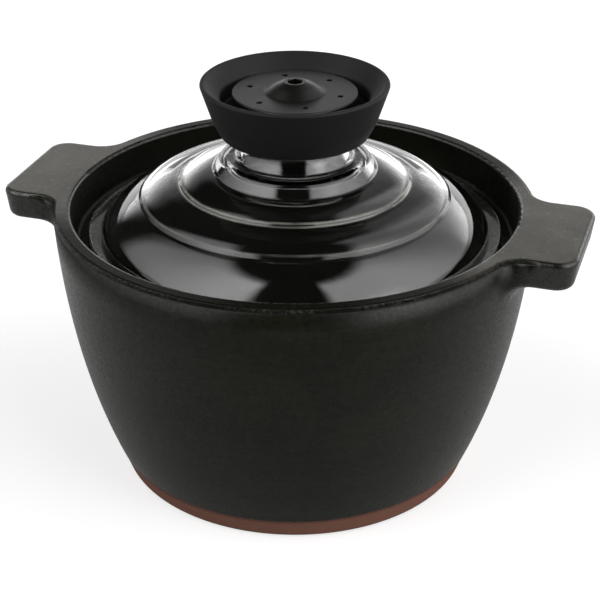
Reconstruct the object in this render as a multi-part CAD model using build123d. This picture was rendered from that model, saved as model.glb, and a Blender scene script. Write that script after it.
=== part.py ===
from build123d import *
import math
import os

os.makedirs("parts", exist_ok=True)

# A rice pot with two ears, a stepped glass lid with a hollow neck, and a soft cup-shaped knob
# that grips the neck and holds a steam whistle.
# Millimetres, +Z up, origin at the centre of the foot, ears on the X axis.
# Every round piece is a half section of (radius, height) points, turned about Z.

# Pot: foot and outer wall
pot_height = 124.5
rim_radius = 105.6
foot_height = 10.0
foot_radius = 82.0
foot_taper = 3.6
foot_round = 3.0
foot_ring_width = 9.0
foot_recess_depth = 2.0
glaze_thickness = 0.4
rim_edge_round = 2.2

# Shares of the wall's height and of its spread, from the foot band up to the rim
wall_shares = [(0.31, 0.50), (0.74, 0.89)]

# Pot: inside
wall_thickness = 8.5
floor_thickness = 9.0
bowl_floor_round = 20.0
bowl_wall_round = 120.0
bowl_shoulder_round = 14.0
bowl_shoulder_drop = 10.3
rim_width = 7.6
mouth_taper = 1.4
mouth_round = 1.6

# Pot: ledge that the lid rests on
seat_depth = 16.5
seat_width = 12.0
seat_corner_round = 2.5
seat_lip_height = 3.0
seat_lip_round = 1.8

# Pot: ears
ear_span = 257.4
ear_width = 62.6
ear_thickness = 13.5
ear_corner_round = 9.5
ear_lower_round = 3.2
ear_root_blend = 12.0
ear_draft_angle = 8.0

# Lid: flange and dome wall
lid_side_gap = 7.0
lid_seat_gap = 0.3
glass_thickness = 3.8
flange_thickness = 4.4
flange_width = 6.4
flange_rise = 0.6
flange_seat_width = 7.6
flange_round = 1.5
dome_reach = 16.4
dome_rise = 14.1
dome_belly_reach = 7.2
dome_belly_rise = 9.2

# Lid: two bulging tiers, each inside a pressed ring, above the dome wall
# A share is the way out from the shoulder to the lower ring, a rise is above the foot of that ring
lower_tier_share = 0.771
lower_tier_rise = 5.5
upper_ring_share = 0.464
upper_ring_rise = 6.6
upper_tier_share = 0.235
upper_tier_rise = 11.5
lower_ring_run = 1.3
lower_ring_height = 1.6
upper_ring_run = 1.2
upper_ring_height = 1.3
ring_round = 0.5
ring_inner_round = 6.0
least_inner_round = 0.4

# Rounds, as shares of the shorter run beside their corner
tier_round_share = 0.8
shoulder_round_share = 0.45

# Lid: round shoulder, valley and neck
shoulder_width = 13.6
shoulder_rise = 12.5
shoulder_foot_round = 1.0
shoulder_side_run = 3.5
shoulder_side_height = 4.9
shoulder_edge_run = 2.5
shoulder_edge_height = 0.9
valley_width = 3.3
valley_depth = 0.3
valley_round = 2.0
neck_radius = 22.3
neck_straight_length = 13.4
neck_flare_rise = 5.2
neck_flare_round = 8.9
neck_lip_round = 1.2

# Knob
fit_gap = 0.3
knob_grip_length = 8.9
knob_base_width = 9.0
knob_belly_wall = 3.5
knob_belly_height = 7.4
knob_lip_overhang = 9.2
knob_lip_width = 2.1
knob_lip_round = 0.9
knob_base_round = 3.0
knob_belly_round = 26.0
knob_funnel_depth = 6.2
knob_funnel_round = 2.5
knob_groove_width = 5.8
knob_groove_round = 1.5
knob_hub_wall = 2.7
knob_hub_height = 5.7
knob_hub_depth = 7.7
knob_hub_round = 0.6
knob_pocket_depth = 3.9
knob_shelf_thickness = 2.7
knob_steam_radius = 14.0

# Whistle: cup and metal plate
whistle_overhang = 3.8
whistle_cup_wall = 1.6
whistle_floor_thickness = 1.4
whistle_flange_thickness = 1.2
plate_thickness = 0.6
plate_fit_gap = 0.2
plate_seat_height = 1.2
plate_seat_width = 1.3
plate_hole_radius = 1.6

# Whistle: vented cap with a low chimney round the steam hole
whistle_radius = 27.0
cap_thickness = 1.8
cap_skirt_height = 2.8
cap_skirt_wall = 1.1
cap_edge_round = 0.7
steam_hole_radius = 3.2
steam_hole_round = 0.4
chimney_radius = 13.3
chimney_height = 4.4
chimney_crown_width = 1.6
chimney_foot_round = 6.0
chimney_crown_round = 2.2
vent_count = 6
vent_radius = 1.0

# Cutting tools run this far past the face that they open
overrun = 2.0
# Two places closer than this are the same place
same_place = 0.01

# Heights and radii that several pieces share
ear_bottom = pot_height - ear_thickness
wall_foot_radius = foot_radius + glaze_thickness
mouth_radius = rim_radius - rim_width
seat_height = pot_height - seat_depth
lid_radius = mouth_radius - lid_side_gap
lid_bottom = seat_height + lid_seat_gap
dome_root_radius = lid_radius - flange_width
dome_root_height = lid_bottom + flange_thickness + flange_rise
dome_top_radius = dome_root_radius - dome_reach
dome_top_height = dome_root_height + dome_rise
shoulder_radius = neck_radius + shoulder_width
shoulder_foot_height = dome_top_height + shoulder_rise
shoulder_top = shoulder_foot_height + shoulder_side_height + shoulder_edge_height
valley_height = shoulder_top - valley_depth
flare_top = valley_height + neck_flare_rise
neck_top = flare_top + neck_straight_length
knob_bottom = neck_top - knob_grip_length
knob_bore_radius = neck_radius + fit_gap
knob_base_radius = knob_bore_radius + knob_base_width
whistle_cup_radius = whistle_radius - whistle_overhang
plate_radius = whistle_cup_radius - whistle_cup_wall - plate_fit_gap
pocket_radius = whistle_cup_radius + fit_gap
hub_radius = pocket_radius + knob_hub_wall
groove_radius = hub_radius + knob_groove_width
knob_belly_radius = groove_radius + knob_belly_wall
knob_lip_radius = groove_radius + knob_lip_overhang
socket_roof = neck_top + fit_gap
pocket_floor = socket_roof + knob_shelf_thickness
hub_top = pocket_floor + knob_pocket_depth
knob_top = hub_top + knob_hub_depth
whistle_bottom = pocket_floor + fit_gap
flange_bottom = hub_top + fit_gap
flange_top = flange_bottom + whistle_flange_thickness
cap_top = flange_top + cap_thickness
plate_bottom = whistle_bottom + whistle_floor_thickness + plate_seat_height


def turn(*edges):
    """Close a chain of edges in the (radius, height) plane and turn it about Z."""
    face = make_face(Curve() + list(edges))
    return revolve(Plane.YZ * face, axis=Axis.Z).solid()


def outline(corners):
    """A closed outline through corners of (radius, height, corner round)."""
    places = [(radius, height) for radius, height, _ in corners]
    return FilletPolyline(*places, radius=[corner for _, _, corner in corners], close=True)


def parallel(corners, gap):
    """Move a chain of straight runs to the left by a gap, and keep its corner rounds."""
    places = [Vector(radius, height) for radius, height, _ in corners]
    runs = [(end - start).normalized() for start, end in zip(places, places[1:])]
    sides = [Vector(-run.Y, run.X) for run in runs]
    moved = [places[0] + sides[0] * gap]
    for place, before, after in zip(places[1:-1], sides, sides[1:]):
        middle = (before + after).normalized()
        moved.append(place + middle * (gap / middle.dot(before)))
    moved.append(places[-1] + sides[-1] * gap)
    return [(place.X, place.Y, corner) for place, (_, _, corner) in zip(moved, corners)]


def eased(before, corner, after, share):
    """A corner with a round that takes up a share of the shorter run beside it."""
    incoming = Vector(*corner) - Vector(*before)
    outgoing = Vector(*after) - Vector(*corner)
    bend = math.radians(incoming.get_angle(outgoing))
    tangent = share * min(incoming.length, outgoing.length)
    return (*corner, tangent / math.tan(bend / 2))


def lined(corners, gap):
    """Rounds for the inner side of a wall: smaller where it bulges out, larger where it dips in."""
    places = [Vector(radius, height) for radius, height, _ in corners]
    found = [corners[0]]
    for before, place, after, (*_, round_size) in zip(places, places[1:], places[2:], corners[1:]):
        bulges = (place - before).cross(after - place).Z > 0
        inner = max(round_size - gap, least_inner_round) if bulges else round_size + gap
        found.append((place.X, place.Y, inner))
    return [*found, corners[-1]]


def edges_in(body, low, high, inside, outside):
    """The edges that lie between two heights and between two distances from the Z axis."""
    found = ShapeList()
    for edge in body.edges():
        places = [edge.position_at(share) for share in (0, 1 / 2, 1)]
        heights = [place.Z for place in places]
        reaches = [math.hypot(place.X, place.Y) for place in places]
        level = low <= min(heights) and max(heights) <= high
        if level and inside <= min(reaches) and max(reaches) <= outside:
            found.append(edge)
    return found


def wall_points():
    """The shaping points of the wall, from the foot band up to the rim."""
    height = pot_height - foot_height
    spread = rim_radius - wall_foot_radius
    stops = [(0, 0), *wall_shares, (1, 1)]
    return [(wall_foot_radius + out * spread, foot_height + up * height) for up, out in stops]


def wall_radius(height):
    """The radius of the wall at a height, on the straight runs between its shaping points."""
    places = wall_points()
    for (near, low), (far, high) in zip(places, places[1:]):
        if low <= height <= high:
            return near + (far - near) * (height - low) / (high - low)
    return rim_radius


def pot_outside():
    """The outer form of the pot: foot ring, bare foot band, glaze edge and curved wall."""
    contact_radius = foot_radius - foot_taper
    recess_radius = contact_radius - foot_ring_width
    foot = FilletPolyline(
        (0, foot_recess_depth),
        (recess_radius - foot_recess_depth, foot_recess_depth),
        (recess_radius, 0),
        (contact_radius, 0),
        (foot_radius, foot_height),
        radius=[foot_recess_depth, foot_recess_depth / 2, foot_round],
    )
    glaze_edge = (wall_foot_radius, foot_height + glaze_thickness)
    glaze = Line((foot_radius, foot_height), glaze_edge)
    wall = Spline(glaze_edge, *wall_points()[1:])
    top = Polyline((rim_radius, pot_height), (0, pot_height), (0, foot_recess_depth))
    return turn(foot, glaze, wall, top)


def ear(side):
    """One ear: a slab flush with the rim, with round corners, drafted sides and a soft lower edge."""
    reach = ear_span / 2
    plan = Pos(side * reach / 2, 0) * Rectangle(reach, ear_width)
    corners = plan.vertices().sort_by(Axis.X, reverse=side < 0)
    plan = fillet(corners[-2:], ear_corner_round)
    slab = extrude(Pos(0, 0, pot_height) * plan, -ear_thickness, taper=ear_draft_angle).solid()
    lower = slab.edges().group_by(Axis.Z)[0].sort_by(Axis.X, reverse=side < 0)
    return slab.fillet(ear_lower_round, lower[1:])


def cavity():
    """The space inside the pot: bowl, ledge for the lid and mouth."""
    seat_outside = mouth_radius - mouth_taper
    seat_inside = seat_outside - seat_width
    floor_top = foot_recess_depth + floor_thickness
    lip_height = seat_height - seat_lip_height
    lip = (seat_inside, lip_height)
    heights = [wall_points()[1][1], lip_height - bowl_shoulder_drop]
    bowl = FilletPolyline(
        (0, floor_top),
        (foot_radius - wall_thickness, floor_top),
        *[(wall_radius(height) - wall_thickness, height) for height in heights],
        lip,
        radius=[bowl_floor_round, bowl_wall_round, bowl_shoulder_round],
    )
    ledge = FilletPolyline(
        lip,
        (seat_inside, seat_height),
        (seat_outside, seat_height),
        (mouth_radius, pot_height),
        radius=[seat_lip_round, seat_corner_round],
    )
    mouth = Polyline(
        (mouth_radius, pot_height),
        (mouth_radius, pot_height + overrun),
        (0, pot_height + overrun),
        (0, floor_top),
    )
    return turn(bowl, ledge, mouth)


def pot_body():
    """The fired pot, one piece with its ears, blended where the ears leave the wall."""
    body = pot_outside() + ear(1) + ear(-1)
    rim_reach = rim_radius + same_place
    roots = edges_in(body, ear_bottom - same_place, pot_height + same_place, foot_radius, rim_reach)
    roots = [edge for edge in roots if edge.bounding_box().min.Z < pot_height - same_place]
    body = body.fillet(ear_root_blend, roots) - cavity()
    rim_middle = (mouth_radius + rim_radius) / 2
    outer = edges_in(body, pot_height - same_place, pot_height + same_place, rim_middle, ear_span)
    body = body.fillet(rim_edge_round, outer)
    mouth = edges_in(body, pot_height - same_place, pot_height + same_place, 0, mouth_radius + same_place)
    return body.fillet(mouth_round, mouth)


def glass_lid():
    """The pressed glass lid: flange, dome wall, two tiers with rings, shoulder, valley and hollow neck."""
    spread = dome_top_radius - shoulder_radius
    root = (dome_root_radius, dome_root_height)
    belly = (dome_root_radius - dome_belly_reach, dome_root_height + dome_belly_rise)
    lower_foot = (dome_top_radius, dome_top_height)
    lower_edge = (dome_top_radius - lower_ring_run, dome_top_height + lower_ring_height)
    lower_tier = (shoulder_radius + lower_tier_share * spread, dome_top_height + lower_tier_rise)
    upper_foot = (shoulder_radius + upper_ring_share * spread, dome_top_height + upper_ring_rise)
    upper_edge = (upper_foot[0] - upper_ring_run, upper_foot[1] + upper_ring_height)
    upper_tier = (shoulder_radius + upper_tier_share * spread, dome_top_height + upper_tier_rise)
    foot = (shoulder_radius, shoulder_foot_height)
    side = (shoulder_radius - shoulder_side_run, shoulder_foot_height + shoulder_side_height)
    edge = (side[0] - shoulder_edge_run, shoulder_top)
    valley = (neck_radius + valley_width, valley_height)
    neck = [
        (*foot, shoulder_foot_round),
        eased(edge, side, foot, shoulder_round_share),
        eased(side, edge, valley, shoulder_round_share),
        (*valley, valley_round),
        (neck_radius, flare_top, neck_flare_round),
        (neck_radius, neck_top, neck_lip_round),
    ]
    crown = [
        (*root, flange_round),
        eased(root, belly, lower_foot, tier_round_share),
        (*lower_foot, ring_round),
        (*lower_edge, ring_round),
        eased(lower_edge, lower_tier, upper_foot, tier_round_share),
        (*upper_foot, ring_round),
        (*upper_edge, ring_round),
        eased(upper_edge, upper_tier, foot, tier_round_share),
        *neck,
    ]
    rings = [
        tuple((low + high) / 2 for low, high in zip(*sides))
        for sides in ((lower_foot, lower_edge), (upper_foot, upper_edge))
    ]
    lining = [
        (*root, flange_round),
        eased(root, belly, rings[0], tier_round_share),
        (*rings[0], ring_inner_round),
        eased(rings[0], lower_tier, rings[1], tier_round_share),
        (*rings[1], ring_inner_round),
        eased(rings[1], upper_tier, foot, tier_round_share),
        *neck,
    ]
    hollow = parallel(lined(lining, glass_thickness), glass_thickness)
    hollow[0] = (lid_radius - flange_seat_width, lid_bottom, flange_round)
    flange = [
        (lid_radius, lid_bottom, flange_round),
        (lid_radius, lid_bottom + flange_thickness, flange_round),
    ]
    return turn(outline(flange + crown + hollow[::-1]))


def knob_grip():
    """The soft knob: flared cup, socket for the neck, steam way, pocket and finger groove."""
    groove_floor = hub_top - knob_hub_height
    return turn(
        outline(
            [
                (knob_bore_radius, knob_bottom, knob_hub_round),
                (knob_base_radius, knob_bottom, knob_base_round),
                (knob_belly_radius, knob_bottom + knob_belly_height, knob_belly_round),
                (knob_lip_radius, knob_top, knob_lip_round),
                (knob_lip_radius - knob_lip_width, knob_top, knob_lip_round),
                (groove_radius, knob_top - knob_funnel_depth, knob_funnel_round),
                (groove_radius, groove_floor, knob_groove_round),
                (hub_radius, groove_floor, knob_groove_round),
                (hub_radius, hub_top, knob_hub_round),
                (pocket_radius, hub_top, knob_hub_round),
                (pocket_radius, pocket_floor, 0),
                (knob_steam_radius, pocket_floor, knob_hub_round),
                (knob_steam_radius, socket_roof, knob_hub_round),
                (knob_bore_radius, socket_roof, 0),
            ]
        )
    )


def whistle_cup():
    """The whistle's cup: a floor with a steam hole, a seat for the plate and a flange."""
    floor_top = whistle_bottom + whistle_floor_thickness
    bore_radius = plate_radius + plate_fit_gap
    flange_radius = whistle_radius - cap_skirt_wall - plate_fit_gap
    return turn(
        outline(
            [
                (steam_hole_radius, whistle_bottom, 0),
                (whistle_cup_radius, whistle_bottom, cap_edge_round),
                (whistle_cup_radius, flange_bottom, 0),
                (flange_radius, flange_bottom, 0),
                (flange_radius, flange_top, 0),
                (bore_radius, flange_top, 0),
                (bore_radius, plate_bottom, 0),
                (plate_radius - plate_seat_width, plate_bottom, 0),
                (plate_radius - plate_seat_width, floor_top, 0),
                (steam_hole_radius, floor_top, 0),
            ]
        )
    )


def whistle_plate():
    """The thin metal plate whose small hole makes the steam sound."""
    sheet = Cylinder(plate_radius, plate_thickness) - Cylinder(plate_hole_radius, plate_thickness + overrun)
    return Pos(0, 0, plate_bottom + plate_thickness / 2) * sheet


def whistle_cap():
    """The cap: a round disc with a skirt, a low chimney round the steam hole and small vents."""
    crown = [
        (whistle_radius, cap_top, cap_edge_round),
        (chimney_radius, cap_top, chimney_foot_round),
        (steam_hole_radius + chimney_crown_width, cap_top + chimney_height, chimney_crown_round),
        (steam_hole_radius, cap_top + chimney_height, steam_hole_round),
    ]
    hollow = parallel(crown, cap_thickness)
    skirt_radius = whistle_radius - cap_skirt_wall
    hollow[0] = (skirt_radius, flange_top, 0)
    skirt = [
        (skirt_radius, cap_top - cap_skirt_height, 0),
        (whistle_radius, cap_top - cap_skirt_height, 0),
    ]
    cap = turn(outline(skirt + crown + hollow[::-1]))
    vent_circle = (chimney_radius + whistle_radius) / 2
    vent = Pos(0, 0, cap_top) * Cylinder(vent_radius, cap_thickness * 2 + overrun)
    for index in range(vent_count):
        angle = index * 360 / vent_count
        cap -= Rot(0, 0, angle) * Pos(vent_circle, 0) * vent
    return cap


pieces = {
    "pot_body": pot_body,
    "glass_lid": glass_lid,
    "knob_grip": knob_grip,
    "whistle_cup": whistle_cup,
    "whistle_plate": whistle_plate,
    "whistle_cap": whistle_cap,
}

for name, make in pieces.items():
    shape = make()
    export_step(shape, f"parts/{name}.step")
    print(name, "volume", round(shape.volume))
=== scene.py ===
import math

import bmesh
import bpy
from bpy.props import FloatProperty, FloatVectorProperty, IntProperty, PointerProperty
from mathutils import Matrix, Vector


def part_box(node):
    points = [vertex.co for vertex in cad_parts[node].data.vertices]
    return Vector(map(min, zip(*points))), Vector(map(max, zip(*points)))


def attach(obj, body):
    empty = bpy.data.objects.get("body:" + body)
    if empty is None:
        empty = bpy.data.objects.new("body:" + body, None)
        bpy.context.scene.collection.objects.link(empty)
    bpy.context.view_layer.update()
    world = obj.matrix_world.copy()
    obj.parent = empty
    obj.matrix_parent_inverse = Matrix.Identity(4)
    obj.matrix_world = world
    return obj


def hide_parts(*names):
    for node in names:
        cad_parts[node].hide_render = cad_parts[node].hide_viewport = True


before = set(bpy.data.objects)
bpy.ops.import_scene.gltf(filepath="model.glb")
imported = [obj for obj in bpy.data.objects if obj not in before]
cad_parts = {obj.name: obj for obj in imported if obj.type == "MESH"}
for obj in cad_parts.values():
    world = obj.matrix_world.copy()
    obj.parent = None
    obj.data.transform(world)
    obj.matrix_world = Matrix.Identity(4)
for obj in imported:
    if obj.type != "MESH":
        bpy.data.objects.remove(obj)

bl_info = {
    "name": "Rice Pot with Glass Lid",
    "version": (1, 0, 0),
    "blender": (4, 5, 0),
    "location": "View3D > Sidebar > Rice Pot",
    "description": "Dresses a clay rice pot: matte glaze, pressed glass lid, soft knob and steam whistle",
    "category": "Object",
}

# Corners of the built solids, in metres. The turned pieces take their levels from them.
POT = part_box("pot_body")
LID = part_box("glass_lid")
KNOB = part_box("knob_grip")
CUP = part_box("whistle_cup")
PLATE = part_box("whistle_plate")
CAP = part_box("whistle_cap")

# Radius of the bore that a turned cutter has until it is closed, in metres.
AXIS_BORE = 0.0001


# Properties that the user may change


def length(name, description, default):
    """A length in metres that the user may change."""
    return FloatProperty(
        name=name,
        description=description,
        default=default,
        min=0,
        precision=5,
        unit="LENGTH",
        subtype="DISTANCE",
    )


def share(name, description, default):
    """A share from none to all."""
    return FloatProperty(name=name, description=description, default=default, min=0, max=1, subtype="FACTOR")


def angle(name, description, default):
    """An angle, given here in degrees."""
    return FloatProperty(name=name, description=description, default=math.radians(default), subtype="ANGLE")


def colour(name, description, default):
    """A linear colour."""
    return FloatVectorProperty(
        name=name, description=description, default=default, size=3, min=0, max=1, subtype="COLOR"
    )


class ClayLook(bpy.types.PropertyGroup):
    """Colours and marks of the glazed clay pot, with its painted light and painted shadow."""

    glaze_dark: colour("Glaze, thick", "Matte black glaze where it is thick", (0.0028, 0.0033, 0.0010))
    glaze_pale: colour("Glaze, thin", "Glaze where it is thin and a little paler", (0.0072, 0.0079, 0.0038))
    glaze_edge: colour("Glaze on edges", "Glaze that has run off the rounded edges", (0.1000, 0.0950, 0.0780))
    # Painted light: the inside below the lid is painted lighter than the glaze, standing in for the light
    # that comes in through the glass lid.
    inside_painted_light: colour("Glaze inside", "Glaze below the lid, a little browner", (0.0150, 0.0150, 0.0100))
    # Painted shade: the rim's flat top, away from the ears, is painted dark where it mirrors the dark lid.
    rim_top_painted_shade: colour("Glaze on the rim", "Glaze on the flat top of the rim", (0.0034, 0.0035, 0.0022))
    # Painted reflection: the ears' flat tops are painted pale where they mirror the bright backdrop.
    ear_top_painted_reflection: colour("Glaze on the ears", "Glaze on the flat top of the ears", (0.0950, 0.0890, 0.0770))
    speck: colour("Speck", "Pale iron and sand specks in the glaze", (0.0700, 0.0660, 0.0520))
    clay: colour("Bare clay", "Fired clay of the foot band", (0.1600, 0.0750, 0.0540))
    clay_burnt: colour("Burnt clay", "Darker clay beside the glaze line", (0.0900, 0.0430, 0.0320))
    # Painted shadow: the clay where the pot stands is painted dark as a contact shadow.
    clay_painted_contact_shadow: colour("Clay at the foot", "Clay soiled where the pot stands", (0.0250, 0.0150, 0.0120))
    grog: colour("Grog", "Pale grains in the bare clay", (0.2600, 0.1900, 0.1500))
    glaze_line: length("Glaze line", "Height at which the glaze ends above the foot", 0.0101)
    glaze_line_tilt: share("Glaze line tilt", "Slope of the glaze line, dipped a little askew", 0.012)
    glaze_line_blur: length("Glaze line blur", "Half the height over which the glaze ends", 0.0002)
    glaze_line_wander: length("Glaze line wander", "How far the glaze line wanders up and down", 0.0007)
    ear_root: length("Ear root", "Width beside the rim over which an ear begins", 0.013)
    ear_reach: length("Ear reach", "How far to the front and back the pale top of the ears fades out", 0.066)
    shoulder_start: length("Shoulder start", "Height from which the wall turns in towards the rim", 0.1090)
    shoulder_turn: FloatProperty(
        name="Shoulder turn", description="Slope that the wall gains for each metre of height", default=52.0
    )
    edge_depth: length("Edge depth", "How far below the rim the glaze is rubbed thin", 0.0021)
    wheel_mark: length("Wheel marks", "Depth of the marks that turning left in the clay", 0.00003)
    grain: length("Grain", "Depth of the fine grain of the glaze", 0.00006)
    roughness: share("Roughness", "Roughness of the matte glaze", 0.42)
    clay_roughness: share("Clay roughness", "Roughness of the bare clay", 0.88)
    clay_grain: length("Clay grain", "Depth of the grain of the bare clay", 0.00008)
    gloss: share("Gloss", "Reflection of the glaze's matte body, half for plain glass", 0.09)
    skin: share("Skin", "Strength of the glassy skin where the glaze is seen at a slant", 0.88)
    band_skin: share("Skin below the rim", "Strength of the glassy skin where the wall turns in", 0.22)
    ear_skin: share("Skin on ears", "Strength of the glassy skin on the sides of the ears", 0.90)
    rim_skin: share("Skin on the rim", "Strength of the glassy skin on top of the rim", 0.14)
    top_skin: share("Skin on top", "Strength of the glassy skin on top of the ears", 0.95)
    skin_roughness: share("Skin roughness", "Roughness of the glassy skin", 0.28)


class LidShape(bpy.types.PropertyGroup):
    """Sizes, tint and painted ring highlights of the pressed glass lid."""

    thickness: length("Glass thickness", "Thickness of the pressed wall", 0.0038)
    flange_thickness: length("Flange thickness", "Thickness of the flat edge", 0.0044)
    flange_width: length("Flange width", "Width of the flat edge, seen from above", 0.0064)
    flange_rise: length("Flange rise", "Rise of the flat edge towards the dome", 0.0006)
    flange_seat_width: length("Flange seat", "Width of the flat edge, seen from below", 0.0076)
    flange_round: length("Flange round", "Round on the flat edge", 0.0015)
    dome_reach: length("Dome reach", "How far the dome wall leans in up to the lower ring", 0.0164)
    dome_rise: length("Dome rise", "Height of the dome wall", 0.0141)
    belly_reach: length("Belly reach", "How far in the dome wall bulges most", 0.0072)
    belly_rise: length("Belly rise", "How high up the dome wall bulges most", 0.0092)
    lower_ring_run: length("Lower ring run", "How far the lower ring leans in", 0.0013)
    lower_ring_height: length("Lower ring height", "Height of the lower ring", 0.0016)
    lower_tier: share("Lower tier", "Way out from the shoulder to the lower ring", 0.771)
    lower_tier_rise: length("Lower tier rise", "Height of the lower tier above the lower ring", 0.0055)
    upper_ring: share("Upper ring", "Way out from the shoulder to the lower ring", 0.464)
    upper_ring_rise: length("Upper ring rise", "Height of the upper ring's foot above the lower ring", 0.0066)
    upper_ring_run: length("Upper ring run", "How far the upper ring leans in", 0.0012)
    upper_ring_height: length("Upper ring height", "Height of the upper ring", 0.0013)
    upper_tier: share("Upper tier", "Way out from the shoulder to the lower ring", 0.235)
    upper_tier_rise: length("Upper tier rise", "Height of the upper tier above the lower ring", 0.0115)
    ring_round: length("Ring round", "Round on the edges of the pressed rings", 0.0005)
    ring_inner_round: length("Inner ring round", "Round of the smooth inner side below a ring", 0.006)
    least_inner_round: length("Least inner round", "Smallest round on the inner side", 0.0004)
    tier_round: share("Tier round", "Share of a tier's shorter run that its round takes up", 0.8)
    shoulder_round: share("Shoulder round", "Share of the shoulder's run that its round takes up", 0.45)
    shoulder_width: length("Shoulder width", "Width of the shoulder round the neck", 0.0136)
    shoulder_rise: length("Shoulder rise", "Height of the shoulder's foot above the lower ring", 0.0125)
    shoulder_foot_round: length("Shoulder foot round", "Round at the foot of the shoulder", 0.001)
    side_run: length("Shoulder side run", "How far the shoulder's side leans in", 0.0035)
    side_height: length("Shoulder side height", "Height of the shoulder's side", 0.0049)
    edge_run: length("Shoulder edge run", "Width of the shoulder's sloping edge", 0.0025)
    edge_height: length("Shoulder edge height", "Height of the shoulder's sloping edge", 0.0009)
    valley_width: length("Valley width", "Width of the valley round the neck", 0.0033)
    valley_depth: length("Valley depth", "Depth of the valley below the shoulder", 0.0003)
    valley_round: length("Valley round", "Round at the bottom of the valley", 0.002)
    neck_radius: length("Neck radius", "Outer radius of the hollow neck", 0.0223)
    flare_rise: length("Flare rise", "Height of the flare above the valley", 0.0052)
    flare_round: length("Flare round", "Round where the flare meets the neck", 0.0089)
    lip_round: length("Lip round", "Fire-polished round at the top of the neck", 0.0012)
    segments: IntProperty(name="Segments", description="Sides of the turned glass", default=256, min=24)
    tint: colour("Tint", "Colour of the clear glass", (0.985, 0.992, 0.984))
    edge_tint: colour("Edge tint", "Colour where one looks through more glass", (0.940, 0.968, 0.900))
    # Painted highlight: a pale matte frosting on the edges of the pressed rings stands in for the bright
    # lines that their reflections make.
    ring_painted_highlight: share("Frost", "Strength of the frosting on the edges of the pressed rings", 0.20)
    ring_highlight_width: length("Frost width", "Width of that frosting", 0.0008)
    ring_highlight_roughness: share("Frost roughness", "Roughness of that frosting", 0.35)
    haze: share("Haze", "Most roughness that wiping leaves on the glass", 0.05)
    ring_highlight_colour: colour("Frost colour", "Colour of the frosted edges", (0.80, 0.78, 0.68))
    waviness: length("Waviness", "Depth of the slow waves that pressing leaves in the glass", 0.00003)


class KnobShape(bpy.types.PropertyGroup):
    """Sizes and colour of the soft knob."""

    bore_radius: length("Bore", "Radius of the socket for the neck", 0.0226)
    base_radius: length("Base", "Radius of the underside", 0.0316)
    belly_radius: length("Belly", "Radius of the belly", 0.0355)
    belly_height: length("Belly height", "Height of the belly above the underside", 0.0074)
    base_round: length("Base round", "Round of the lower edge", 0.0030)
    belly_round: length("Belly round", "Round of the belly", 0.0260)
    lip_width: length("Lip width", "Width of the lip", 0.0021)
    lip_round: length("Lip round", "Round of the lip", 0.0009)
    funnel_depth: length("Funnel depth", "Depth of the sloping inner wall", 0.0062)
    funnel_round: length("Funnel round", "Round at the foot of the sloping wall", 0.0025)
    groove_radius: length("Groove radius", "Outer radius of the finger groove", 0.0320)
    groove_depth: length("Groove depth", "Depth of the finger groove below the lip", 0.0134)
    groove_round: length("Groove round", "Round at the bottom of the groove", 0.0015)
    hub_radius: length("Hub radius", "Outer radius of the ring that holds the whistle", 0.0262)
    hub_depth: length("Hub depth", "Depth of that ring's top below the lip", 0.0077)
    hub_round: length("Hub round", "Round on the ring", 0.0006)
    pocket_radius: length("Pocket radius", "Radius of the pocket for the whistle", 0.0235)
    pocket_depth: length("Pocket depth", "Depth of the pocket below the ring's top", 0.0039)
    shelf_thickness: length("Shelf", "Thickness of the shelf between neck and whistle", 0.0027)
    steam_radius: length("Steam way", "Radius of the hole in the shelf", 0.0140)
    segments: IntProperty(name="Segments", description="Sides of the turned knob", default=224, min=24)
    rubber: colour("Rubber", "Soft black silicone", (0.0026, 0.0026, 0.0025))
    dust: colour("Dust", "Fine dust that clings to it", (0.0110, 0.0110, 0.0105))
    roughness: share("Roughness", "Roughness of the silicone", 0.62)


class WhistleShape(bpy.types.PropertyGroup):
    """Sizes and colours of the steam whistle."""

    cup_radius: length("Cup radius", "Radius of the cup that plugs into the knob", 0.0232)
    flange_radius: length("Cup flange", "Radius of the cup's flange", 0.0257)
    flange_thickness: length("Cup flange thickness", "Thickness of the cup's flange", 0.0012)
    floor_thickness: length("Cup floor", "Thickness of the cup's floor", 0.0014)
    plate_ledge: length("Plate ledge", "Width of the ledge under the metal plate", 0.0013)
    cup_round: length("Cup round", "Round of the cup's lower edge", 0.0007)
    plate_gap: length("Plate gap", "Gap round the metal plate in the cup", 0.0002)
    plate_hole: length("Plate hole", "Radius of the hole in the metal plate", 0.0016)
    disc_thickness: length("Disc thickness", "Thickness of the disc", 0.0018)
    skirt_wall: length("Skirt wall", "Wall of the disc's skirt", 0.0011)
    skirt_height: length("Skirt height", "Height of the disc's skirt", 0.0028)
    disc_round: length("Disc round", "Round of the disc's edge", 0.0007)
    chimney_radius: length("Chimney radius", "Radius at the foot of the chimney", 0.0133)
    chimney_height: length("Chimney height", "Height of the chimney", 0.0044)
    chimney_crown: length("Chimney crown", "Width of the chimney's top", 0.0016)
    chimney_foot_round: length("Chimney foot round", "Round at the foot of the chimney", 0.0020)
    bell_reach: length("Bell reach", "How far in from its foot the chimney bulges most", 0.0048)
    bell_rise: length("Bell rise", "Height of that place above the disc", 0.0029)
    bell_round: length("Bell round", "Round of the bulge", 0.0120)
    chimney_crown_round: length("Chimney crown round", "Round at the top of the chimney", 0.0030)
    steam_hole: length("Steam hole", "Radius of the steam hole", 0.0032)
    vent_radius: length("Vent radius", "Radius of each small vent", 0.00125)
    vent_bevel: length("Vent bevel", "Bevel round each small vent", 0.0003)
    vent_overrun: length("Vent overrun", "How far a vent's cutter runs past the disc", 0.001)
    vent_circle: length("Vent circle", "Radius of the circle of vents", 0.02015)
    vents: IntProperty(name="Vents", description="Number of small vents", default=6, min=0)
    segments: IntProperty(name="Segments", description="Sides of the turned whistle", default=192, min=24)
    plastic: colour("Plastic", "Dark grey moulded plastic", (0.0034, 0.0034, 0.0028))
    steel: colour("Steel", "Bright sheet steel", (0.62, 0.61, 0.59))
    roughness: share("Roughness", "Roughness of the plastic", 0.35)


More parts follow.
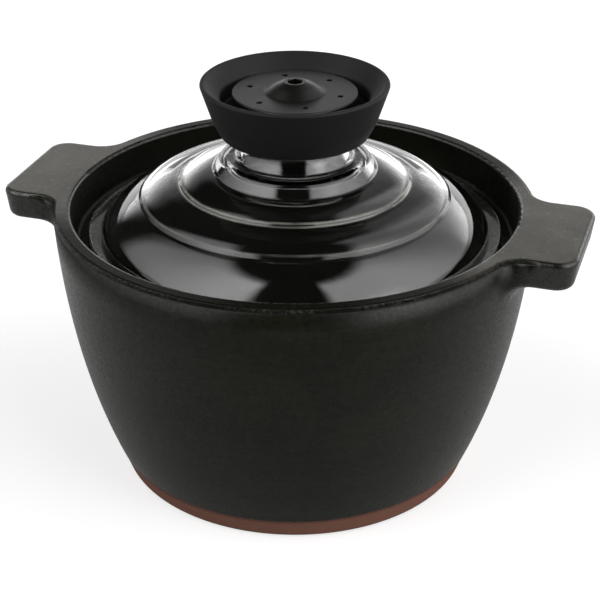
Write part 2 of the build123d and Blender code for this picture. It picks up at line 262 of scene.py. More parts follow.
class StageLook(bpy.types.PropertyGroup):
    """Camera, floor and soft boxes."""

    lens: FloatProperty(name="Lens", description="Focal length in mm on a 36 mm sensor", default=98.3)
    distance: length("Distance", "From the camera to the point that it looks at", 0.7418)
    azimuth: angle("Azimuth", "Camera's turn round the pot, from the front to the right", 17.5)
    elevation: angle("Elevation", "Camera's height above the horizon", 27.61)
    aim: length("Aim", "Height of the point that the camera looks at", 0.075)
    shift_right: FloatProperty(name="Shift right", description="Lens shift to the right", default=0.0085)
    shift_up: FloatProperty(name="Shift up", description="Lens shift upwards", default=-0.003)
    floor_size: length("Floor", "Half the width of the floor", 6.0)
    floor_colour: colour("Floor colour", "Plain pale floor", (0.50, 0.50, 0.50))
    floor_lift: share("Floor lift", "Share of white that the floor shows the camera besides its light", 0.60)
    floor_shine: share("Floor in reflections", "Share of that white that glossy surfaces see", 0.25)
    left_box: FloatProperty(name="Left box", description="Brightness of the left soft box", default=3.1)
    right_box: FloatProperty(name="Right box", description="Brightness of the right soft box", default=5.6)
    backdrop: FloatProperty(name="Backdrop", description="Brightness of the backdrop", default=1.9)
    dim: FloatProperty(name="Dim", description="Brightness of the rest of the room", default=0.02)
    fill: share("Fill", "Share of the studio's light that falls on matte surfaces", 0.95)


LOOKS = {
    "pot_clay": ClayLook,
    "pot_lid": LidShape,
    "pot_knob": KnobShape,
    "pot_whistle": WhistleShape,
    "pot_stage": StageLook,
}


# Materials


class Number:
    """A number on its way through a shader, ready for plain arithmetic."""

    def __init__(self, finish, socket):
        self.finish = finish
        self.socket = socket

    def __add__(self, other):
        return self.finish.maths("ADD", self, other)

    def __radd__(self, other):
        return self.finish.maths("ADD", other, self)

    def __sub__(self, other):
        return self.finish.maths("SUBTRACT", self, other)

    def __rsub__(self, other):
        return self.finish.maths("SUBTRACT", other, self)

    def __mul__(self, other):
        return self.finish.maths("MULTIPLY", self, other)

    def __rmul__(self, other):
        return self.finish.maths("MULTIPLY", other, self)

    def __truediv__(self, other):
        return self.finish.maths("DIVIDE", self, other)

    def __pow__(self, other):
        return self.finish.maths("POWER", self, other)


class Finish:
    """The nodes of one material, or of the studio round the pot."""

    def __init__(self, tree):
        self.tree = tree
        tree.nodes.clear()

    def node(self, kind, settings=None, sockets=None):
        """Add a node: its settings first, then the values or links of its sockets."""
        made = self.tree.nodes.new(kind)
        for name, setting in (settings or {}).items():
            setattr(made, name, setting)
        for name, given in (sockets or {}).items():
            source = given.socket if isinstance(given, Number) else given
            if isinstance(source, bpy.types.NodeSocket):
                self.tree.links.new(source, made.inputs[name])
            else:
                made.inputs[name].default_value = source
        return made

    def number(self, kind, settings=None, sockets=None, output=0):
        """Add a node and take one of its outputs as a number."""
        return Number(self, self.node(kind, settings, sockets).outputs[output])

    def maths(self, operation, *terms):
        """Add a Math node."""
        return self.number("ShaderNodeMath", {"operation": operation}, dict(enumerate(terms)))

    def step(self, value, low, high):
        """A smooth step from 0 at low to 1 at high."""
        places = {"Value": value, "From Min": low, "From Max": high}
        return self.number("ShaderNodeMapRange", {"interpolation_type": "SMOOTHSTEP"}, places)

    def window(self, value, low, high, soft):
        """1 between low and high, with soft edges."""
        return self.step(value, low - soft, low + soft) * (1 - self.step(value, high - soft, high + soft))

    def blend(self, amount, first, second):
        """Mix two colours."""
        colours = {0: amount, 6: tint(first), 7: tint(second)}
        return self.node("ShaderNodeMix", {"data_type": "RGBA"}, colours).outputs[2]

    def place(self):
        """The place on the piece, in metres from the middle of the foot, and its parts."""
        spot = self.node("ShaderNodeTexCoord").outputs["Object"]
        parts = self.node("ShaderNodeSeparateXYZ", sockets={"Vector": spot}).outputs
        return spot, Number(self, parts["X"]), Number(self, parts["Y"]), Number(self, parts["Z"])

    def facing(self):
        """How far the surface faces along each axis, from -1 to 1."""
        normal = self.node("ShaderNodeTexCoord").outputs["Normal"]
        parts = self.node("ShaderNodeSeparateXYZ", sockets={"Vector": normal}).outputs
        return [Number(self, parts[name]) for name in "XYZ"]

    def vector(self, x, y, z):
        """A vector of three numbers."""
        return self.node("ShaderNodeCombineXYZ", sockets={"X": x, "Y": y, "Z": z}).outputs[0]

    def noise(self, where, scale, detail=2.0, roughness=0.5, distortion=0.0):
        """Soft noise from 0 to 1, with scale waves to the metre."""
        sockets = {"Scale": scale, "Detail": detail, "Roughness": roughness, "Distortion": distortion}
        return self.number("ShaderNodeTexNoise", sockets={"Vector": where, **sockets})

    def specks(self, where, scale, size, few):
        """Small round specks. Size is a share of their spacing, few leaves that share of them out."""
        cells = self.node("ShaderNodeTexVoronoi", sockets={"Vector": where, "Scale": scale})
        chance = self.number("ShaderNodeSeparateColor", sockets={"Color": cells.outputs["Color"]})
        near = 1 - self.step(Number(self, cells.outputs["Distance"]), size * 0.6, size)
        return near * self.step(chance, few, few + 0.02)

    def bump(self, height, depth):
        """A normal from a height that runs from 0 to 1, for a real depth in metres."""
        return self.node("ShaderNodeBump", sockets={"Height": height, "Distance": depth}).outputs[0]

    def shader(self, **sockets):
        """Add a main shader."""
        named = {name.replace("_", " "): value for name, value in sockets.items()}
        return self.node("ShaderNodeBsdfPrincipled", sockets=named).outputs[0]

    def surface(self, **sockets):
        """Close the material with one main shader."""
        self.node("ShaderNodeOutputMaterial", sockets={"Surface": self.shader(**sockets)})

    def skinned(self, amount, body, skin):
        """Close the material with a share of one shader laid over another."""
        mixed = self.node("ShaderNodeMixShader", sockets={0: amount, 1: body, 2: skin})
        self.node("ShaderNodeOutputMaterial", sockets={"Surface": mixed.outputs[0]})


def tint(value):
    """A colour of three numbers gets its fourth, and a link stays as it is."""
    return value if isinstance(value, bpy.types.NodeSocket) else (*value, 1.0)


def new_finish(name):
    """A new material and its nodes."""
    material = bpy.data.materials.new(name)
    material.use_nodes = True
    return material, Finish(material.node_tree)


def glazed_clay(look):
    """Matte black glaze that thins on the edges, over clay that stays bare at the foot, with painted light on
    the ear tops and inside, and a painted contact shadow at the foot.
    """
    material, finish = new_finish("glazed_clay")
    rim_radius, rim_top = POT[1][1:]
    spot, x, y, z = finish.place()
    radius = (x * x + y * y) ** 0.5

    # Slow clouds, fine mottling and grain, with turning marks round the wall and on flat tops.
    cloud = finish.noise(spot, 38, 5, 0.6, 0.4)
    mottle = finish.noise(spot, 320, 4, 0.65)
    grain = finish.noise(spot, 1500, 3, 0.6)
    rings = finish.noise(finish.vector(x * 10, y * 10, z * 700), 1, 3, 0.6)
    circles = finish.noise(finish.vector(x * 14, y * 14, radius * 900), 1, 3, 0.6)

    east, north, up = finish.facing()
    flat = finish.step(up, 0.93, 0.995)
    top = finish.step(z, rim_top - 0.0006, rim_top - 0.0002) * flat
    marks = circles * top * 0.3 + rings * (1 - top)
    ears = finish.step(radius, rim_radius, rim_radius + look.ear_root)

    thin = finish.step(cloud * 0.5 + mottle * 0.35 + marks * 0.3, 0.42, 0.78)
    glaze = finish.blend(thin, look.glaze_dark, look.glaze_pale)
    # Inward faces lean to the thick dark glaze. Below the lid's seat they are painted lighter, as painted
    # light for the light that comes in through the glass lid.
    inside = 1 - finish.step((x * east + y * north) / radius, -0.08, 0.02)
    glaze = finish.blend(inside * 0.6, glaze, look.glaze_dark)
    painted_inside_light = inside * (1 - finish.step(z, 0.095, 0.106))
    glaze = finish.blend(painted_inside_light, glaze, look.inside_painted_light)

    # Painted light on the flat tops: a pale painted reflection on the ear tops that fades to painted shade on
    # the rim's top at the front and back, in uneven patches.
    painted_top_patches = finish.step(cloud * 0.7 + mottle * 0.25 + circles * 0.1, 0.3, 0.75)
    eared = 1 - finish.step(finish.maths("ABSOLUTE", y), look.ear_reach * 0.5, look.ear_reach)
    pale = finish.blend(eared, look.rim_top_painted_shade, look.ear_top_painted_reflection)
    glaze = finish.blend(top * (painted_top_patches * 0.5 + 0.5), glaze, pale)

    # The edge of the rim is rubbed pale in crumbs.
    on_edge = finish.step(z, rim_top - look.edge_depth, rim_top - look.edge_depth * 0.5)
    turned_out = finish.step(up, 0.3, 0.55) * (1 - finish.step(up, 0.75, 0.95))
    outside = finish.step(radius, rim_radius - 0.0035, rim_radius - 0.0020)
    crumbs = finish.step(finish.noise(spot, 900, 3, 0.7), 0.47, 0.62)
    rubbed = on_edge * turned_out * outside * crumbs * finish.step(cloud, 0.32, 0.52)
    glaze = finish.blend(rubbed, glaze, look.glaze_edge)

    dots = finish.specks(spot, 620, 0.2, 0.90) * finish.step(cloud, 0.35, 0.7)
    glaze = finish.blend(dots * 0.35, glaze, look.speck)

    # The foot band stays bare below a line that wanders a little.
    wander = (finish.noise(spot, 30, 2) - 0.5) * (look.glaze_line_wander * 2) - x * look.glaze_line_tilt
    blur = look.glaze_line_blur
    bare = 1 - finish.step(z + wander, look.glaze_line - blur, look.glaze_line + blur)
    burnt = finish.step(z + wander, look.glaze_line - 0.0035, look.glaze_line) * 0.6 + mottle * 0.4
    clay = finish.blend(finish.step(burnt, 0.25, 0.95), look.clay, look.clay_burnt)
    grog = finish.specks(spot, 900, 0.3, 0.7)
    clay = finish.blend(grog * 0.4, clay, look.grog)
    # The lowest 1.6 mm of the foot band is painted dark: a painted contact shadow.
    clay = finish.blend(1 - finish.step(z, 0.0004, 0.0016), clay, look.clay_painted_contact_shadow)

    # Pits, grain and turning marks, and the wall that turns in below the rim.
    rough = look.roughness + (mottle - 0.5) * 0.14 + (marks - 0.5) * 0.06 - dots * 0.08
    rough = rough * (1 - bare) + bare * look.clay_roughness
    pits = finish.specks(spot, 520, 0.16, 0.80)
    relief = grain * 0.35 + mottle * 0.65 - pits * 0.8
    relief = relief * look.grain + marks * look.wheel_mark + bare * (grain + grog * 0.6) * look.clay_grain
    above = finish.maths("MAXIMUM", z - look.shoulder_start, 0)
    wall = finish.step(radius, rim_radius - 0.006, rim_radius - 0.005) * (1 - ears)
    band = wall * finish.step(z, look.shoulder_start, look.shoulder_start + 0.008)
    relief = relief - above * above * (look.shoulder_turn / 2) * wall * (1 - finish.step(up, 0.3, 0.9))
    normal = finish.bump(relief * 1000, 0.001)
    # A glassy skin over the matte body: strong at a slant and on the ears, broken up by crystals.
    slant = finish.number("ShaderNodeLayerWeight", sockets={"Blend": 0.5}, output="Facing")
    over = look.rim_skin + eared * (look.top_skin - look.rim_skin)
    low = finish.step(z, 0.015, 0.100) * 0.5 + 0.5
    skin = slant * low * look.skin * (1 - inside * 0.7) * (1 - band * 0.6)
    skin = (skin + ears * look.ear_skin + band * look.band_skin) * (1 - top) + top * over
    lip = finish.step(z, rim_top - 0.0016, rim_top - 0.0008) * inside
    skin = finish.maths("MINIMUM", skin + lip, 1) * (1 - bare)
    crystals = finish.step(finish.noise(spot, 850, 2, 0.6), 0.38, 0.64)
    skin = skin * (0.45 + 0.5 * crystals + 0.5 * mottle)
    base = finish.blend(bare, glaze, clay)
    body = finish.shader(Base_Color=base, Roughness=rough, Normal=normal, Specular_IOR_Level=look.gloss)
    smooth = look.skin_roughness + (mottle - 0.5) * 0.12 + (marks - 0.5) * 0.06
    finish.skinned(skin, body, finish.shader(Base_Color=base, Roughness=smooth, Normal=normal, IOR=1.5))
    return material


def pressed_glass(look, rings):
    """Clear pressed glass with slow waves, a greener edge, a painted highlight laid on the rings as pale
    matte frosting, and a little haze.
    """
    material, finish = new_finish("pressed_glass")
    spot, x, y, z = finish.place()
    radius = (x * x + y * y) ** 0.5
    waves = finish.noise(spot, 42, 2, 0.4)
    swirl = finish.noise(finish.vector(x * 30, y * 30, radius * 160), 1, 1)
    wiped = finish.noise(finish.vector(x * 60, y * 60, z * 200), 1, 4, 0.7)
    edge = finish.step(radius, LID[1][0] - look.flange_width * 1.1, LID[1][0] - look.flange_width * 0.6)
    normal = finish.bump(waves * 0.7 + swirl * 0.3, look.waviness)
    glass = finish.shader(
        Base_Color=finish.blend(edge, look.tint, look.edge_tint),
        Roughness=finish.step(wiped, 0.5, 0.95) * look.haze,
        Normal=normal,
        IOR=1.51,
        Transmission_Weight=1.0,
    )
    # Painted highlight on the ring edges, laid on as pale matte frosting in patches.
    ring_painted_highlight = 0
    for across, up, strength in rings:
        away = ((radius - across) ** 2 + (z - up) ** 2) ** 0.5
        ring_painted_highlight = ring_painted_highlight + (1 - finish.step(away, look.ring_highlight_width * 0.4, look.ring_highlight_width)) * strength
    patches = finish.step(waves * 0.4 + wiped * 0.6, 0.3, 0.62)
    ring_painted_highlight = finish.maths("MINIMUM", ring_painted_highlight, 1) * patches * look.ring_painted_highlight
    matte = finish.shader(Base_Color=tint(look.ring_highlight_colour), Roughness=look.ring_highlight_roughness, Normal=normal)
    finish.skinned(ring_painted_highlight, glass, matte)
    return material


def soft_silicone(look):
    """Matte black silicone with a fine grain and clinging dust."""
    material, finish = new_finish("soft_silicone")
    spot, x, y, z = finish.place()
    cloud = finish.noise(spot, 70, 4, 0.6)
    grain = finish.noise(spot, 5200, 2, 0.6)
    handled = finish.noise(spot, 260, 5, 0.7)
    dust = finish.specks(spot, 900, 0.14, 0.93) * finish.step(cloud, 0.4, 0.7)
    up = finish.step(finish.facing()[2], 0.2, 0.9)
    powder = finish.step(handled, 0.5, 0.85) * (up * 0.05 + 0.04)
    finish.surface(
        Base_Color=finish.blend(dust * 0.8 + powder, look.rubber, look.dust),
        Roughness=look.roughness + (cloud - 0.5) * 0.16 + (handled - 0.5) * 0.1,
        Normal=finish.bump(grain * 0.6 + handled * 0.4, 0.00002),
        IOR=1.43, Specular_IOR_Level=0.4,
    )
    return material


def moulded_plastic(look):
    """Satin grey plastic with the fine spark texture of its mould, polished in the steam hole."""
    material, finish = new_finish("moulded_plastic")
    spot, x, y, z = finish.place()
    radius = (x * x + y * y) ** 0.5
    cloud = finish.noise(spot, 110, 4, 0.6)
    spark = finish.noise(spot, 3600, 3, 0.7)
    flow = finish.noise(finish.vector(x * 40, y * 40, radius * 700), 1, 3, 0.6)
    polished = 1 - finish.step(radius, look.steam_hole + 0.0001, look.steam_hole + 0.0006)
    pale = finish.step(cloud * 0.6 + spark * 0.25 + flow * 0.25, 0.35, 0.8)
    darker = tuple(part * 0.78 for part in look.plastic)
    lighter = tuple(part * 1.2 for part in look.plastic)
    finish.surface(
        Base_Color=finish.blend(pale, darker, lighter),
        Roughness=(look.roughness + (cloud - 0.5) * 0.12 + (flow - 0.5) * 0.06) * (1 - polished * 0.7),
        Normal=finish.bump(spark * (1 - polished), 0.00002),
        IOR=1.5, Specular_IOR_Level=0.35,
    )
    return material


def bright_steel(look):
    """Rolled steel sheet, turned bright, with fine circles and a few water marks."""
    material, finish = new_finish("bright_steel")
    spot, x, y, z = finish.place()
    radius = (x * x + y * y) ** 0.5
    circles = finish.noise(finish.vector(x * 20, y * 20, radius * 2600), 1, 3, 0.7)
    marks = finish.noise(spot, 240, 4, 0.6)
    stained = finish.step(marks, 0.52, 0.72)
    finish.surface(
        Base_Color=finish.blend(stained * 0.35, look.steel, (0.34, 0.31, 0.27)),
        Roughness=0.2 + circles * 0.14 + stained * 0.12,
        Normal=finish.bump(circles, 0.000012),
        Metallic=1.0,
    )
    return material


# Turned forms


def side(run):
    """The direction to the right of a run, which is out of the solid."""
    return Vector((run.y, -run.x))


def rounded(corners, finest=math.radians(7)):
    """Points and outward normals round a closed outline of (radius, height, round) corners."""
    places = [Vector(corner[:2]) for corner in corners]
    found = []
    for index, place in enumerate(places):
        size = corners[index][2]
        before = (place - places[index - 1]).normalized()
        after = (places[(index + 1) % len(places)] - place).normalized()
        turn = math.atan2(before.x * after.y - before.y * after.x, before.dot(after))
        sign = math.copysign(1, turn)
        start = place - before * size * math.tan(abs(turn) / 2)
        centre = start - side(before) * size * sign
        steps = max(2, math.ceil(abs(turn) / finest))
        for step in range(steps + 1):
            run = Matrix.Rotation(turn * step / steps, 2) @ before
            found.append((centre + side(run) * size * sign, side(run)))
    return found


def offset(corners, gap):
    """Move an open chain of corners to its left by a gap, and keep the rounds."""
    places = [Vector(corner[:2]) for corner in corners]
    runs = [(end - start).normalized() for start, end in zip(places, places[1:])]
    sides = [-side(run) for run in runs]
    moved = [places[0] + sides[0] * gap]
    for place, before, after in zip(places[1:-1], sides, sides[1:]):
        middle = (before + after).normalized()
        moved.append(place + middle * (gap / middle.dot(before)))
    moved.append(places[-1] + sides[-1] * gap)
    return [(place.x, place.y, corner[2]) for place, corner in zip(moved, corners)]


def eased(before, corner, after, taken):
    """A corner with a round that takes up a share of the shorter run beside it."""
    incoming = Vector(corner) - Vector(before)
    outgoing = Vector(after) - Vector(corner)
    tangent = taken * min(incoming.length, outgoing.length)
    return (*corner, tangent / math.tan(incoming.angle(outgoing) / 2))


def lined(corners, gap, least):
    """Rounds for the inner side of a wall: smaller where it bulges out, larger where it dips in."""
    places = [Vector(corner[:2]) for corner in corners]
    found = [corners[0]]
    for before, place, after, corner in zip(places, places[1:], places[2:], corners[1:]):
        bulges = (place - before).cross(after - place) > 0
        inner = max(corner[2] - gap, least) if bulges else corner[2] + gap
        found.append((place.x, place.y, inner))
    return [*found, corners[-1]]


def turned(name, corners, segments):
    """Turn a closed outline about Z into a smooth ring of quads."""
    outline = rounded(corners)
    count = len(outline)
    spots, normals = [], []
    for index in range(segments):
        turn = 2 * math.pi * index / segments
        c, s = math.cos(turn), math.sin(turn)
        for point, out in outline:
            spots.append((point.x * c, point.x * s, point.y))
            normals.append((out.x * c, out.x * s, out.y))
    faces = []
    for index in range(segments):
        here, there = index * count, (index + 1) % segments * count
        for place in range(count):
            following = (place + 1) % count
            faces.append((here + place, there + place, there + following, here + following))
    mesh = bpy.data.meshes.new(name)
    mesh.from_pydata(spots, [], faces)
    mesh.shade_smooth()
    mesh.normals_split_custom_set_from_vertices(normals)
    mesh.update()
    piece = bpy.data.objects.new(name, mesh)
    bpy.context.scene.collection.objects.link(piece)
    return piece


def dress(piece, material, body, node):
    """Give a new piece its material, and put it in the place of its solid."""
    piece.data.materials.append(material)
    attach(piece, body)
    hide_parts(node)


def close_bore(piece):
    """Merge the thin bore of a turned cutter into its axis, so that it is solid."""
    form = bmesh.new()
    form.from_mesh(piece.data)
    for vert in form.verts:
        if math.hypot(vert.co.x, vert.co.y) < AXIS_BORE * 2:
            vert.co.x = 0
            vert.co.y = 0
    bmesh.ops.remove_doubles(form, verts=form.verts, dist=AXIS_BORE / 20)
    form.to_mesh(piece.data)
    form.free()


def cut(piece, cutters):
    """Cut pieces out of a piece."""
    for cutter in cutters:
        modifier = piece.modifiers.new("cut", "BOOLEAN")
        modifier.operation = "DIFFERENCE"
        modifier.solver = "EXACT"
        modifier.object = cutter
    graph = bpy.context.evaluated_depsgraph_get()
    mesh = bpy.data.meshes.new_from_object(piece.evaluated_get(graph))
    piece.modifiers.clear()
    piece.data = mesh
    for cutter in cutters:
        bpy.data.objects.remove(cutter)


# One operator for the stage and for each piece


class RICEPOT_OT_stage(bpy.types.Operator):
    """Set up the floor, the soft studio light and the camera"""

    bl_idname = "ricepot.stage"
    bl_label = "Stage"

    def execute(self, context):
        look = context.scene.pot_stage
        scene = context.scene
        scene.view_settings.view_transform = "Standard"
        self.camera(scene, look)
        self.floor(scene, look)
        self.studio(scene, look)
        return {"FINISHED"}

    def camera(self, scene, look):
        """The camera at the photograph's angle."""
        back = Vector(
            (
                math.sin(look.azimuth) * math.cos(look.elevation),
                -math.cos(look.azimuth) * math.cos(look.elevation),
                math.sin(look.elevation),
            )
        )
        data = bpy.data.cameras.new("camera")
        data.lens = look.lens
        data.sensor_width = 36
        data.shift_x = look.shift_right
        data.shift_y = look.shift_up
        camera = bpy.data.objects.new("camera", data)
        camera.location = Vector((0, 0, look.aim)) + back * look.distance
        camera.rotation_euler = back.to_track_quat("Z", "Y").to_euler()
        scene.collection.objects.link(camera)
        scene.camera = camera

    def floor(self, scene, look):
        """A plain pale floor that shows white to the camera and keeps the pot's shadow."""
        form = bmesh.new()
        bmesh.ops.create_grid(form, x_segments=8, y_segments=8, size=look.floor_size)
        mesh = bpy.data.meshes.new("floor")
        form.to_mesh(mesh)
        form.free()
        floor = bpy.data.objects.new("floor", mesh)
        scene.collection.objects.link(floor)
        material, finish = new_finish("pale_floor")
        path = finish.node("ShaderNodeLightPath").outputs
        mirrored = Number(finish, path["Is Glossy Ray"]) * look.floor_shine
        seen = finish.maths("MAXIMUM", Number(finish, path["Is Camera Ray"]), mirrored)
        seen = finish.maths("MAXIMUM", seen, Number(finish, path["Is Transmission Ray"]))
        matte = finish.node("ShaderNodeBsdfDiffuse", sockets={"Color": tint(look.floor_colour)})
        lift = finish.node(
            "ShaderNodeEmission", sockets={"Color": tint((1, 1, 1)), "Strength": seen * look.floor_lift}
        )
        both = finish.node("ShaderNodeAddShader", sockets={0: matte.outputs[0], 1: lift.outputs[0]})
        finish.node("ShaderNodeOutputMaterial", sockets={"Surface": both.outputs[0]})
        mesh.materials.append(material)

    def studio(self, scene, look):
        """Two large soft boxes, a backdrop behind the pot and a dim room, round a white ground."""
        world = bpy.data.worlds.new("studio")
        world.use_nodes = True
        scene.world = world
        finish = Finish(world.node_tree)
        towards = finish.node("ShaderNodeTexCoord").outputs["Generated"]
        parts = finish.node("ShaderNodeSeparateXYZ", sockets={"Vector": towards}).outputs
        x, y, z = [Number(finish, parts[name]) for name in "XYZ"]
        degrees = 180 / math.pi
        round_front = finish.maths("ARCTAN2", x, y * -1) * degrees
        round_back = finish.maths("ARCTAN2", x * -1, y) * degrees
        height = finish.maths("ARCSINE", z) * degrees

        # Angles in degrees: round the front or the back, and above the horizon.
        left = finish.window(round_front, -108, -16, 6) * finish.window(height, 5, 68, 4)
        left = left * (finish.step(round_front, -110, -30) * 0.7 + 0.3) * look.left_box
        left = left * (finish.step(height, 8, 34) * 0.45 + 0.55)
        right = finish.window(round_front, 44, 168, 5) * finish.window(height, 0, 68, 4)
        right = right * (1 - finish.step(round_front, 100, 150) * 0.74) * look.right_box
        glow = finish.window(round_front, 62, 84, 16) * finish.window(height, 16, 34, 14)
        right = right * (glow * 0.95 + 0.42)
        back = finish.window(round_back, -34, 52, 5) * (1 - finish.step(height, 24, 30)) * look.backdrop
        back = back * (1 - finish.step(height, 6, 25) * 0.88)
        behind = finish.window(round_back, -25, 12, 6) * finish.window(height, 27, 50, 5) * 0.2
        light = left + right + back + behind + look.dim

        # The camera, and what it sees straight through glass, get a white ground.
        path = finish.node("ShaderNodeLightPath").outputs
        matte = Number(finish, path["Is Diffuse Ray"])
        straight = 1 - finish.step(Number(finish, path["Glossy Depth"]), 0.4, 0.6)
        through = Number(finish, path["Is Transmission Ray"]) * straight
        ground = finish.maths("MAXIMUM", Number(finish, path["Is Camera Ray"]), through)
        light = light * (1 - matte * (1 - look.fill))
        strength = ground + (1 - ground) * light
        white = {"Color": tint((1, 1, 1)), "Strength": strength}
        shown = finish.node("ShaderNodeBackground", sockets=white)
        finish.node("ShaderNodeOutputWorld", sockets={"Surface": shown.outputs[0]})


class RICEPOT_OT_pot(bpy.types.Operator):
    """Glaze the clay pot, its rim and its two ears, and leave the foot band bare"""

    bl_idname = "ricepot.pot"
    bl_label = "Clay Pot"

    def execute(self, context):
        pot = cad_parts["pot_body"]
        pot.data.materials.clear()
        pot.data.materials.append(glazed_clay(context.scene.pot_clay))
        return {"FINISHED"}


class RICEPOT_OT_lid(bpy.types.Operator):
    """Turn the pressed glass lid with its dome, two rings, shoulder and hollow neck"""

    bl_idname = "ricepot.lid"
    bl_label = "Glass Lid"

    def execute(self, context):
        look = context.scene.pot_lid
        crown, lining = self.outlines(look, LID[0][2], LID[1][2], LID[1][0])
        hollow = offset(lined(lining, look.thickness, look.least_inner_round), look.thickness)
        hollow[0] = (LID[1][0] - look.flange_seat_width, LID[0][2], look.flange_round)
        flange = [
            (LID[1][0], LID[0][2], look.flange_round),
            (LID[1][0], LID[0][2] + look.flange_thickness, look.flange_round),
        ]
        lid = turned("lid_glass_pressed", flange + crown + hollow[::-1], look.segments)
        # Corners that get the painted highlight, laid on as pale matte frosting: the lower ring's edge, and
        # the upper ring's foot and edge.
        ring_highlight_corners = ((3, 0.5), (5, 0.9), (6, 1))
        rings = [(*crown[place][:2], strength) for place, strength in ring_highlight_corners]
        dress(lid, pressed_glass(look, rings), "lid", "glass_lid")
        return {"FINISHED"}

    def outlines(self, look, bottom, top, rim):
        """The outer side with its rings, and the smooth line that the inner side follows."""
        root = (rim - look.flange_width, bottom + look.flange_thickness + look.flange_rise)
        belly = (root[0] - look.belly_reach, root[1] + look.belly_rise)
        lower_foot = (root[0] - look.dome_reach, root[1] + look.dome_rise)
        lower_edge = (lower_foot[0] - look.lower_ring_run, lower_foot[1] + look.lower_ring_height)
        foot = (look.neck_radius + look.shoulder_width, lower_foot[1] + look.shoulder_rise)
        spread = lower_foot[0] - foot[0]
        lower_tier = (foot[0] + look.lower_tier * spread, lower_foot[1] + look.lower_tier_rise)
        upper_foot = (foot[0] + look.upper_ring * spread, lower_foot[1] + look.upper_ring_rise)
        upper_edge = (upper_foot[0] - look.upper_ring_run, upper_foot[1] + look.upper_ring_height)
        upper_tier = (foot[0] + look.upper_tier * spread, lower_foot[1] + look.upper_tier_rise)
        side_top = (foot[0] - look.side_run, foot[1] + look.side_height)
        edge = (side_top[0] - look.edge_run, side_top[1] + look.edge_height)
        valley = (look.neck_radius + look.valley_width, edge[1] - look.valley_depth)
        neck = [
            (*foot, look.shoulder_foot_round),
            eased(edge, side_top, foot, look.shoulder_round),
            eased(side_top, edge, valley, look.shoulder_round),
            (*valley, look.valley_round),
            (look.neck_radius, valley[1] + look.flare_rise, look.flare_round),
            (look.neck_radius, top, look.lip_round),
        ]
        crown = [
            (*root, look.flange_round),
            eased(root, belly, lower_foot, look.tier_round),
            (*lower_foot, look.ring_round),
            (*lower_edge, look.ring_round),
            eased(lower_edge, lower_tier, upper_foot, look.tier_round),
            (*upper_foot, look.ring_round),
            (*upper_edge, look.ring_round),
            eased(upper_edge, upper_tier, foot, look.tier_round),
            *neck,
        ]
        lower, upper = [
            tuple((low + high) / 2 for low, high in zip(*ends))
            for ends in ((lower_foot, lower_edge), (upper_foot, upper_edge))
        ]
        lining = [
            (*root, look.flange_round),
            eased(root, belly, lower, look.tier_round),
            (*lower, look.ring_inner_round),
            eased(lower, lower_tier, upper, look.tier_round),
            (*upper, look.ring_inner_round),
            eased(upper, upper_tier, foot, look.tier_round),
            *neck,
        ]
        return crown, lining


class RICEPOT_OT_knob(bpy.types.Operator):
    """Turn the soft cup-shaped knob with its finger groove and pocket"""

    bl_idname = "ricepot.knob"
    bl_label = "Soft Knob"

    def execute(self, context):
        look = context.scene.pot_knob
        bottom, top, lip = KNOB[0][2], KNOB[1][2], KNOB[1][0]
        hub_top = top - look.hub_depth
        groove = top - look.groove_depth
        pocket = hub_top - look.pocket_depth
        roof = pocket - look.shelf_thickness
        corners = [
            (look.bore_radius, bottom, look.hub_round),
            (look.base_radius, bottom, look.base_round),
            (look.belly_radius, bottom + look.belly_height, look.belly_round),
            (lip, top, look.lip_round),
            (lip - look.lip_width, top, look.lip_round),
            (look.groove_radius, top - look.funnel_depth, look.funnel_round),
            (look.groove_radius, groove, look.groove_round),
            (look.hub_radius, groove, look.groove_round),
            (look.hub_radius, hub_top, look.hub_round),
            (look.pocket_radius, hub_top, look.hub_round),
            (look.pocket_radius, pocket, look.hub_round / 3),
            (look.steam_radius, pocket, look.hub_round),
            (look.steam_radius, roof, look.hub_round),
            (look.bore_radius, roof, look.hub_round / 3),
        ]
        knob = turned("knob_soft_cup", corners, look.segments)
        dress(knob, soft_silicone(look), "knob", "knob_grip")
        return {"FINISHED"}


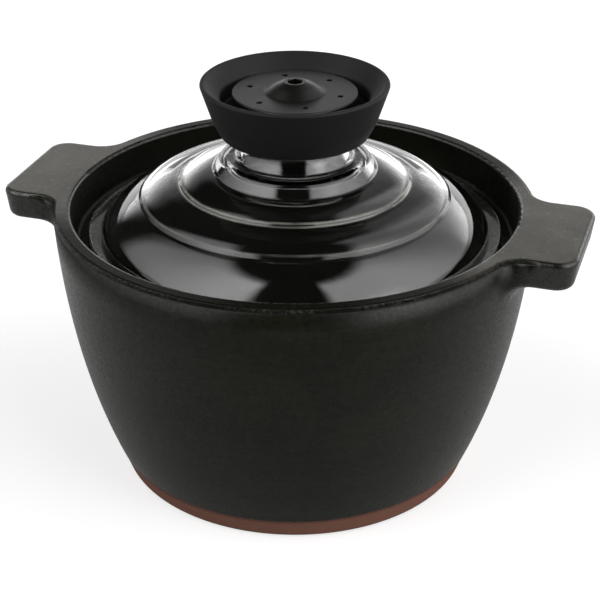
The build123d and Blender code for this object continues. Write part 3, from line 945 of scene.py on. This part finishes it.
class RICEPOT_OT_whistle(bpy.types.Operator):
    """Make the steam whistle: cup, metal plate, and disc with chimney and vents"""

    bl_idname = "ricepot.whistle"
    bl_label = "Steam Whistle"

    def execute(self, context):
        look = context.scene.pot_whistle
        plastic = moulded_plastic(look)
        dress(self.cup(look), plastic, "whistle", "whistle_cup")
        dress(self.plate(look), bright_steel(look), "whistle", "whistle_plate")
        dress(self.disc(look), plastic, "whistle", "whistle_cap")
        return {"FINISHED"}

    def cup(self, look):
        """The cup that plugs into the knob."""
        bottom, top = CUP[0][2], CUP[1][2]
        flange = top - look.flange_thickness
        floor = bottom + look.floor_thickness
        bore = PLATE[1][0] + look.plate_gap
        ledge = PLATE[1][0] - look.plate_ledge
        fine = look.cup_round / 5
        corners = [
            (look.steam_hole, bottom, fine),
            (look.cup_radius, bottom, look.cup_round),
            (look.cup_radius, flange, fine),
            (look.flange_radius, flange, fine),
            (look.flange_radius, top, fine),
            (bore, top, fine),
            (bore, PLATE[0][2], fine),
            (ledge, PLATE[0][2], fine),
            (ledge, floor, fine),
            (look.steam_hole, floor, fine),
        ]
        return turned("whistle_cup_moulded", corners, look.segments)

    def plate(self, look):
        """The thin plate whose hole makes the sound."""
        low, high = PLATE[0][2], PLATE[1][2]
        fine = (high - low) / 5
        corners = [
            (look.plate_hole, low, fine),
            (PLATE[1][0], low, fine),
            (PLATE[1][0], high, fine),
            (look.plate_hole, high, fine),
        ]
        return turned("whistle_plate_steel", corners, look.segments)

    def disc(self, look):
        """The disc with its chimney, steam hole and small vents."""
        radius, bottom = CAP[1][0], CAP[0][2]
        top = bottom + look.skirt_height
        crown = [
            (radius, top, look.disc_round),
            (look.chimney_radius, top, look.chimney_foot_round),
            (look.chimney_radius - look.bell_reach, top + look.bell_rise, look.bell_round),
            (look.steam_hole + look.chimney_crown, top + look.chimney_height, look.chimney_crown_round),
            (look.steam_hole, top + look.chimney_height, look.skirt_wall / 2.75),
        ]
        hollow = offset(crown, look.disc_thickness)
        fine = look.skirt_wall / 8
        hollow[0] = (radius - look.skirt_wall, top - look.disc_thickness, fine)
        hollow[-1] = (*hollow[-1][:2], fine)
        skirt = [(radius - look.skirt_wall, bottom, fine), (radius, bottom, fine)]
        disc = turned("whistle_disc", skirt + crown + hollow[::-1], look.segments)
        # The cutter's sloping edge leaves a bevel round each vent.
        low = top - look.disc_thickness - look.vent_overrun
        high = top + look.vent_bevel * 0.4
        sharp = look.vent_bevel / 15
        vent = [
            (AXIS_BORE, low, sharp),
            (look.vent_radius, low, sharp),
            (look.vent_radius, high - look.vent_bevel, sharp),
            (look.vent_radius + look.vent_bevel, high, sharp),
            (AXIS_BORE, high, sharp),
        ]
        cutters = []
        for index in range(look.vents):
            cutter = turned("vent", vent, 40)
            close_bore(cutter)
            turn = 2 * math.pi * index / look.vents
            cutter.location = (look.vent_circle * math.cos(turn), look.vent_circle * math.sin(turn), 0)
            cutters.append(cutter)
        bpy.context.view_layer.update()
        cut(disc, cutters)
        disc.modifiers.new("even_shading", "WEIGHTED_NORMAL")
        return disc


# Sidebar


class RICEPOT_PT_sidebar(bpy.types.Panel):
    """Lists the steps that dress the rice pot"""

    bl_label = "Rice Pot"
    bl_space_type = "VIEW_3D"
    bl_region_type = "UI"
    bl_category = "Rice Pot"

    def draw(self, context):
        for operator in OPERATORS:
            self.layout.operator(operator.bl_idname)
        for name in LOOKS:
            look = getattr(context.scene, name)
            box = self.layout.box()
            box.label(text=type(look).bl_rna.description)
            for key in type(look).__annotations__:
                box.prop(look, key)


OPERATORS = (
    RICEPOT_OT_stage,
    RICEPOT_OT_pot,
    RICEPOT_OT_lid,
    RICEPOT_OT_knob,
    RICEPOT_OT_whistle,
)
CLASSES = (*LOOKS.values(), *OPERATORS, RICEPOT_PT_sidebar)


def register():
    """Add the classes, and the scene's own values."""
    for item in CLASSES:
        bpy.utils.register_class(item)
    for name, group in LOOKS.items():
        setattr(bpy.types.Scene, name, PointerProperty(type=group))


def unregister():
    """Take them away again."""
    for name in LOOKS:
        delattr(bpy.types.Scene, name)
    for item in reversed(CLASSES):
        bpy.utils.unregister_class(item)


def main():
    """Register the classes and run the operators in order."""
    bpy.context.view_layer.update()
    register()
    bpy.ops.ricepot.stage()
    bpy.ops.ricepot.pot()
    bpy.ops.ricepot.lid()
    bpy.ops.ricepot.knob()
    bpy.ops.ricepot.whistle()


if __name__ == "__main__":
    main()
